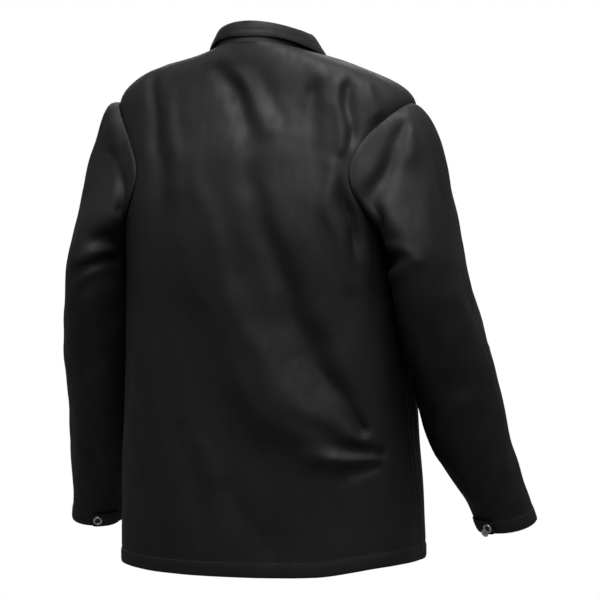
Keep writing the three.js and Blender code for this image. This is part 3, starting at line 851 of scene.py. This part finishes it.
def front_grid():
    """Columns run from the closing edge, at a fixed x past the middle, to the side seam."""
    edge = np.concatenate([[0, 1.0, 2.6], np.linspace(5, 345, int(345 / CELL)), [349, 351.5, 353]])
    share_places = edge / edge[-1]
    columns = []
    for level in levels:
        fine = np.linspace(-HALF - 0.9, -0.002, 700)
        line = body_point(fine, np.full_like(fine, level))
        start = np.interp(-OVERLAP, line[:, 0], fine)
        inside = np.linspace(start, -0.002, 700)
        line = body_point(inside, np.full_like(inside, level))
        walked = np.concatenate([[0], np.cumsum(np.linalg.norm(np.diff(line, axis=0), axis=1))])
        columns.append(np.interp(share_places * walked[-1], walked, inside))
    chosen = np.array(columns).T
    level_grid = np.broadcast_to(levels[None, :], chosen.shape)
    return chosen, level_grid, share_places * 353


def front_place(x, y, z):
    return stack(x, y, z) + SEAT


def front_sink(points, step):
    """The step down to the lower layer, for garment points of the wearer's left half."""
    return -step * (1 - smooth(44, 74, points[..., 0]))


def dress_front(step, seed):
    chosen, level_grid, edge_places = front_grid()
    base = body_point(chosen, level_grid)
    skin = Skin(base)
    skin.push(front_sink(base, step))
    reach = cut_armholes(skin)
    points = skin.grid - SEAT
    calm = smooth(0, 40, reach)
    near_neck = smooth(0, 30, level_places[-1] - level_places)[None, :]
    placket = smooth(8, 70, edge_places)[:, None]
    wobble = Waves(seed, 150, 2.0)
    to_side = (edge_places[-1] - edge_places)[:, None]
    height = (wobble(points) * 1.6 + RIPPLE(points) * 0.4) * calm * near_neck * mix(0.25, 1, placket)
    height = height * smooth(0, 45, to_side)
    folds = fold_height(points.reshape(-1, 3), laid(FRONT_FOLDS, front_place)).reshape(height.shape)
    height += folds * smooth(0, 14, reach) * near_neck * placket * smooth(0, 14, to_side)
    height -= 0.5 * bell(reach, 2.0)
    height += -1.3 * bell(to_side, 1.6) + 0.8 * bell(to_side - 8, 5)
    height += -0.9 * bell(edge_places, 1.5)[:, None] - 0.5 * bell(edge_places - 6.5, 1.5)[:, None]
    finish_edges(skin, height)
    skin.hang(np.array([-1 if step else 1, 1, 1]))
    return skin, edge_places


for side, step, seed in (("left", 0.0, 21), ("right", LAYER_STEP, 22)):
    mirror = side == "right"
    skin, edge_places = dress_front(step, seed)
    thing = skin.build(f"{side}_front_skin", BLACK, SUEDE, mirror=mirror)
    declare(thing, [f"{side}_front_upper", f"{side}_front_lower"], blend=FRONT_BLEND[side])
    count = len(edge_places) - 1
    top_row = len(levels) - 2
    lines = [row_line(skin, hem_row, column_at(edge_places, 7), count - 0.5, 500),
             column_line(skin, column_at(edge_places, 6.5), 1.5, top_row),
             column_line(skin, column_at(edge_places, 47), hem_row, top_row)]
    declare(stitching(f"{side}_front_stitching", lines, THREAD, mirror=mirror),
            blend=FRONT_BLEND[side])
    # the facing behind the closing edge
    face_top = np.interp(-90, BODY["fore"][:9], range(9))
    rows = [k for k, level in enumerate(levels) if 0.12 < level < face_top]
    wide = [k for k, place in enumerate(edge_places) if 0.5 < place < 50]
    facing = Skin(skin.grid[wide[0]:wide[-1] + 1, rows[0]:rows[-1] + 1])
    thing = facing.build(f"{side}_facing_skin", SUEDE, SUEDE, thickness=1.8, mirror=mirror,
                         offset=-LEATHER - 0.3)
    declare(thing, [f"{side}_facing_upper", f"{side}_facing_lower"], blend=FRONT_BLEND[side])

# ---------- sleeves ----------
def even_sleeve(cell=CELL):
    fine = np.linspace(0, CUFF, 1500)
    outer = sleeve_point(np.full_like(fine, 0.6), fine)
    walked = np.concatenate([[0], np.cumsum(np.linalg.norm(np.diff(outer, axis=0), axis=1))])
    total = walked[-1]
    split = np.interp(SPLIT, fine, walked)
    upper = np.concatenate([[0, 1.2, 3.0], np.linspace(6, split, int(split / cell))])
    lower = np.linspace(split, total - 6, int((total - split) / cell))[1:]
    places = np.concatenate([upper, lower, [total - 3, total - 1.2, total]])
    return np.interp(places, walked, fine), places, len(upper) - 1


sleeve_levels, sleeve_places, split_row = even_sleeve()
turns = np.linspace(0, 2 * np.pi, int(500 / CELL), endpoint=False)


def sleeve_place(turn, v):
    return sleeve_point(np.radians(turn), v)


def dress_sleeve(folds, flip, seed):
    base = sleeve_point(turns[:, None], sleeve_levels[None, :])
    skin = Skin(base, side=-1.0, ring=True)
    points = skin.grid - SEAT
    from_arm = sleeve_places[None, :]
    to_cuff = (sleeve_places[-1] - sleeve_places)[None, :]
    calm = smooth(0, 30, from_arm) * mix(0.3, 1, smooth(0, 60, to_cuff))
    soft, ripple = Waves(seed, 130, 1.6), Waves(seed + 1, 48, 1.2)
    height = (soft(points) * 1.2 + ripple(points) * 0.5 + TINY(points) * 0.10) * calm
    flat = points.reshape(-1, 3)
    own = np.array([-1 if flip else 1, 1, 1])
    mask = smooth(0, 14, from_arm) * smooth(0, 30, to_cuff)
    own_folds = laid(folds, lambda turn, v: sleeve_place(turn, v) * own)
    height += fold_height(flat * own, own_folds).reshape(height.shape) * mask
    height += fold_height(flat, laid(ELBOW_FOLDS, sleeve_place)).reshape(height.shape) * mask
    # the sleeve head stands up beside the armhole seam, then rolls into it
    height += 1.0 * bell(from_arm - 7, 6) * smooth(0, 4, from_arm) - 0.4 * bell(from_arm, 1.2)
    # the outer side lies closer to the arm below the head, and the left head stands fuller
    outer_side = smooth(-0.1, 0.7, np.cos(turns))[:, None]
    height -= 9.0 * outer_side * bell(points[..., 2] + 215, 80) * smooth(10, 60, from_arm)
    fuller = 2.0 if flip else 9.0
    height += fuller * smooth(-0.5, 0.7, np.cos(turns - 0.3))[:, None] * bell(points[..., 2] + 86, 25) \
        * smooth(-4, 16, from_arm)
    # the long seam down the outer side, and the one under the arm
    girth = 66.0
    for start, drift in ((18.0, -4.5), (196.0, -3.0)):
        line = np.radians(start + drift * sleeve_levels)[None, :]
        away = (np.angle(np.exp(1j * (turns[:, None] - line)))) * girth
        height += (-1.1 * bell(away, 1.8) + 0.8 * bell(away - 6, 4)) * smooth(2, 12, from_arm)
    height += 0.8 * smooth(26, 19, to_cuff) - 0.9 * bell(to_cuff - 22, 1.8) - 0.8 * bell(to_cuff, 1.5)
    skin.push(height)
    skin.hang(own)
    return skin


SHOULDER_START, SHOULDER_REACH, SHOULDER_WAY = (0.198, -0.07, -0.269), 0.0635, (0.87, 0.0, -0.493)
elbow_centre, elbow_down, _, _ = sleeve_section(np.array([1.62, 2.0]))
ELBOW_WAY = elbow_down[1]
ELBOW_START = to_frame(elbow_centre[0]) + ELBOW_WAY * 0.004
ELBOW_REACH = 0.11

for side, folds, seed in (("left", LEFT_SLEEVE_FOLDS, 41), ("right", RIGHT_SLEEVE_FOLDS, 45)):
    mirror = side == "right"
    flip = np.array([-1.0 if mirror else 1.0, 1, 1])
    skin = dress_sleeve(folds, mirror, seed)
    shoulder_start = np.array(SHOULDER_START) * flip
    shoulder_end = shoulder_start + np.array(SHOULDER_WAY) * SHOULDER_REACH * flip
    elbow_start = ELBOW_START * flip
    elbow_end = elbow_start + ELBOW_WAY * ELBOW_REACH * flip
    upper_blend = ("body", f"{side}_sleeve", tuple(shoulder_start), tuple(shoulder_end))
    lower_blend = (f"{side}_sleeve", f"{side}_forearm", tuple(elbow_start), tuple(elbow_end))
    thing = skin.build(f"{side}_upper_sleeve_skin", BLACK, SUEDE, mirror=mirror, rows=(0, split_row))
    declare(thing, [f"{side}_upper_sleeve"], blend=upper_blend)
    thing = skin.build(f"{side}_lower_sleeve_skin", BLACK, SUEDE, mirror=mirror,
                       rows=(split_row, len(sleeve_levels) - 1))
    declare(thing, [f"{side}_forearm_sleeve"], blend=lower_blend)
    cuff_row = np.interp(sleeve_places[-1] - 20, sleeve_places, np.arange(len(sleeve_places)))
    declare(stitching(f"{side}_cuff_stitching", [row_line(skin, cuff_row, 0, len(turns), 500)], THREAD,
                      mirror=mirror), body=f"{side}_forearm")
    # the cuff facing, inside
    rows = [k for k, place in enumerate(sleeve_places) if 2 < sleeve_places[-1] - place < 26]
    facing = Skin(skin.grid[:, rows[0]:rows[-1] + 1], side=-1.0, ring=True)
    thing = facing.build(f"{side}_cuff_facing_skin", SUEDE, SUEDE, thickness=1.8, mirror=mirror,
                         offset=-LEATHER - 0.3)
    declare(thing, [f"{side}_cuff_facing"], body=f"{side}_forearm")
    # the cuff tab, rooted at its inner end and lying on the sleeve
    flap_turns = np.radians(np.linspace(FLAP_FROM, FLAP_TO, 22))
    flap_rows = np.linspace(CUFF - 0.5, CUFF - 0.03, 12)
    half_turns = np.interp(flap_turns, np.append(turns, 2 * np.pi), np.arange(len(turns) + 1))
    half_rows = np.interp(flap_rows, sleeve_levels, np.arange(len(sleeve_levels)))
    grid, normals = skin.at(half_turns[:, None], half_rows[None, :])
    root = smooth(FLAP_TO, FLAP_TO - 16, np.degrees(flap_turns))[:, None]
    grid = grid + normals * (2.2 + 1.6 * root)[..., None]
    # round the free end's corners
    middle = grid.shape[1] / 2 - 0.5
    for k in range(4):
        pull = (1 - math.sqrt(1 - ((3 - k) / 4) ** 2)) * 0.8
        grid[k] = mix(grid[k], grid[k].mean(0, keepdims=True), pull * np.abs(
            (np.arange(grid.shape[1]) - middle) / middle)[:, None] ** 2)
    flap = Skin(grid, side=-1.0)
    flap_blend = (f"{side}_forearm", f"{side}_flap",
                  tuple(to_frame(grid[-1, 6]) * flip), tuple(to_frame(grid[-5, 6]) * flip))
    thing = flap.build(f"{side}_cuff_tab", BLACK, BLACK, thickness=1.8, mirror=mirror)
    declare(thing, [f"{side}_cuff_flap"], blend=flap_blend)
    # the cuff snap
    column = np.interp(math.radians(FLAP_SNAP), flap_turns, np.arange(len(flap_turns)))
    seat, up = flap.at(column, 6.0)
    ring = lathe(f"{side}_cuff_snap_ring", SNAP_CAP, seat - up * 0.2, up, NICKEL, mirror=mirror, dark=4)
    declare(ring, [f"{side}_cuff_snap_cap"], body=f"{side}_flap")
    socket = [(3.0, -3.2), (3.4, -3.5), (5.8, -3.5), (6.1, -3.0), (6.1, -2.0), (3.0, -2.0)]
    declare(lathe(f"{side}_cuff_snap_well", socket, seat, up, NICKEL, mirror=mirror),
            [f"{side}_cuff_snap_socket"], body=f"{side}_flap")

# ---------- collar ----------
def neck_angles(end, count):
    return np.linspace(-HALF + math.radians(end), 3 * HALF - math.radians(end), count)


around = neck_angles(4, 150)
up_stand = np.concatenate([[-0.12, 0, 0.06, 0.12], np.linspace(0.2, 1, 9)])
stand = Skin(stand_point(around[:, None], np.broadcast_to(up_stand[None, :], (len(around), len(up_stand)))))
stand.push(Waves(61, 60)(stand.grid - SEAT) * 0.5 * smooth(0, 0.4, up_stand)[None, :]
           - 0.5 * bell(up_stand * 24 - 4, 1.2)[None, :])
thing = stand.build("collar_stand_skin", BLACK, BLACK, thickness=2.4)
declare(thing, ["collar_stand"], body="body")

around = neck_angles(8, 170)
down_leaf = np.linspace(0, 1, 26)
down_grid = np.broadcast_to(down_leaf[None, :], (len(around), len(down_leaf)))
leaf = Skin(leaf_point(around[:, None], down_grid), side=-1.0)
sway = Waves(62, 90)(leaf.grid - SEAT) * 1.0 + Waves(63, 40)(leaf.grid - SEAT) * 0.35
edge_run = (1 - down_leaf)[None, :] * 48
leaf.push(sway * smooth(0.15, 0.9, down_leaf)[None, :] - 2.6
          - 0.5 * bell(edge_run - 7, 1.6) - 0.7 * bell(edge_run, 1.6))
thing = leaf.build("collar_leaf_skin", BLACK, BLACK, thickness=2.2, offset=1.1)
declare(thing, ["collar_leaf"], body="body")
leaf_row = 21.6
line, ups = row_line(leaf, leaf_row, 3, len(around) - 4, 900)
ends = [column_line(leaf, 4, 4, leaf_row), column_line(leaf, len(around) - 5, 4, leaf_row)]
declare(stitching("collar_stitching", [(p + n * 1.1, n) for p, n in [(line, ups), *ends]], THREAD),
        body="body")

# ---------- inside pieces ----------
picked_rows = [k for k, level in enumerate(levels) if level > 7.0]
picked = [k for k, a in enumerate(angles) if math.radians(36) < a < math.radians(144)]
facing = Skin(back.grid[picked[0]:picked[-1] + 1, picked_rows[0]:picked_rows[-1]])
thing = facing.build("back_neck_facing_skin", SUEDE, SUEDE, thickness=1.8, offset=-LEATHER - 0.3)
declare(thing, ["back_neck_facing"], body="body")

loop_run = np.linspace(-33, 33, 60)
loop_high = np.linspace(-10, -2, 7)
grid = stack(loop_run[:, None], 79.9 - 1.2 * np.cos(loop_run / 33 * HALF)[:, None] + 0 * loop_high[None, :],
             np.broadcast_to(loop_high[None, :], (60, 7)))
grid[..., 1] += (np.abs(loop_run)[:, None] > 29) * 0.6
loop = Skin(grid, side=1.0)
thing = loop.build("hanger_strap", TAPE, TAPE, thickness=1.4)
declare(thing, ["hanger_loop"], body="body")

picked = [k for k, a in enumerate(angles) if math.radians(73) < a < math.radians(107)]
rows = [k for k, level in enumerate(levels) if 5.5 < level < 6.05]
label = Skin(back.grid[picked[0]:picked[-1] + 1, rows[0]:rows[-1] + 1])
thing = label.build("neck_label_skin", TAPE, TAPE, thickness=0.9, offset=-LEATHER - 0.3)
declare(thing, ["neck_label"], body="body")

# the patch pocket inside the left front: a pouch with a hollow, open at the top
pocket_angles = np.radians(np.linspace(-52.5, -35.5, 40))
pocket_levels = np.linspace(2.02, 2.9, 44)
outer_face = body_point(pocket_angles[:, None], pocket_levels[None, :])
pocket = Skin(outer_face)
edge_u = np.minimum(np.arange(40), np.arange(40)[::-1])[:, None] * 2.0
edge_v = np.arange(44)[None, :] * 3.2
bulge = smooth(0, 14, np.minimum(edge_u, edge_v)) * 10.5
pocket.push(-4.2 - bulge + Waves(71, 40)(pocket.grid - SEAT) * 0.6 * smooth(0, 20, edge_u))
thing = pocket.build("inside_pocket_skin", SUEDE, SUEDE, thickness=1.8)
declare(thing, ["inside_pocket"], body="body")


# ---------- front snaps ----------
def front_seat(height):
    level = np.interp(height, BODY["fore"], np.arange(NECK + 1))
    for _ in range(30):
        level += (height - float(along(BODY, "fore", level))) * 0.004
    angle = np.array([-HALF])
    at = np.array([float(level)])
    return body_point(angle, at)[0], normal_of(body_point, angle, at)[0]


SNAP_WELL = [(3.0, -7.4), (3.4, -7.7), (5.8, -7.7), (6.1, -7.2), (6.1, -6.2), (3.0, -6.2)]
SNAP_STUD = [(0.01, -6.9), (1.7, -7.0), (2.2, -7.6), (2.0, -8.6), (5.6, -9.0), (6.0, -9.4), (5.8, -9.8),
             (0.01, -9.9)]
SNAP_POST = [(0.01, -15.4), (4.6, -15.4), (5.4, -15.9), (5.2, -16.5), (0.01, -16.7)]
for number, height in enumerate(SNAP_HEIGHTS, 1):
    seat, up = front_seat(height)
    for part, profile, side in (("cap", SNAP_CAP, "left"), ("socket", SNAP_WELL, "left"),
                                ("stud", SNAP_STUD, "right"), ("post", SNAP_POST, "right")):
        thing = lathe(f"front_{part}_{number}", profile, seat, up, NICKEL, dark=4 if part == "cap" else 0)
        node = f"front_snap_{part}_{number}"
        if number == 1:
            declare(thing, [node], body="body")
        elif number < 4:
            declare(thing, [node], blend=FRONT_BLEND[side])
        else:
            declare(thing, [node], body=f"{side}_front")

for name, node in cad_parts.items():
    if "cuff_snap" in name:
        for k in range(len(node.material_slots)):
            node.material_slots[k].material = NICKEL

# ---------- stage and light ----------
floor_material, floor_nodes, floor_links, floor_shader = new_material("pale_floor")
floor_shader.inputs["Base Color"].default_value = (0.9, 0.9, 0.9, 1)
floor_shader.inputs["Roughness"].default_value = 0.9
floor_shader.inputs["Emission Color"].default_value = (1, 1, 1, 1)
floor_shader.inputs["Emission Strength"].default_value = 0.55

turn = np.linspace(0, 2 * np.pi, 96, endpoint=False)
floor = link("floor", np.stack([6 * np.cos(turn), 6 * np.sin(turn), np.full(96, -1.62)], -1),
             [list(range(96))], [floor_material])
floor.visible_diffuse = False
floor.visible_glossy = False

world = bpy.data.worlds.new("studio")
world.use_nodes = True
scene.world = world
backdrop = world.node_tree.nodes["Background"]
lit = world.node_tree.nodes.new("ShaderNodeBackground")
seen = world.node_tree.nodes.new("ShaderNodeLightPath")
choose = world.node_tree.nodes.new("ShaderNodeMixShader")
backdrop.inputs["Color"].default_value = (0.185, 0.185, 0.189, 1)
lit.inputs["Color"].default_value = (1, 1, 1, 1)
lit.inputs["Strength"].default_value = 1.0
world.node_tree.links.new(seen.outputs["Is Camera Ray"], choose.inputs["Fac"])
world.node_tree.links.new(backdrop.outputs["Background"], choose.inputs[1])
world.node_tree.links.new(lit.outputs["Background"], choose.inputs[2])
world.node_tree.links.new(choose.outputs["Shader"], world.node_tree.nodes["World Output"].inputs["Surface"])


def area_light(name, place, target, size, power):
    data = bpy.data.lights.new(name, "AREA")
    data.shape = "RECTANGLE"
    data.size, data.size_y = size
    data.energy = power
    thing = bpy.data.objects.new(name, data)
    scene.collection.objects.link(thing)
    thing.location = place
    way = np.array(target) - np.array(place)
    from mathutils import Vector
    thing.rotation_euler = Vector(way).to_track_quat("-Z", "Y").to_euler()


area_light("overhead", (-0.35, 0.6, 2.2), (0, -0.05, -0.2), (1.8, 1.8), 100)
area_light("behind_left", (2.2, 2.2, 1.1), (0, 0, -0.35), (1.4, 1.8), 1.5)
area_light("behind_right", (-1.3, 2.6, 1.7), (0, 0, -0.35), (1.2, 1.4), 25)
area_light("front_key", (1.0, -2.8, 1.3), (0, 0, -0.4), (2.0, 2.0), 45)

scene.view_settings.view_transform = "Standard"
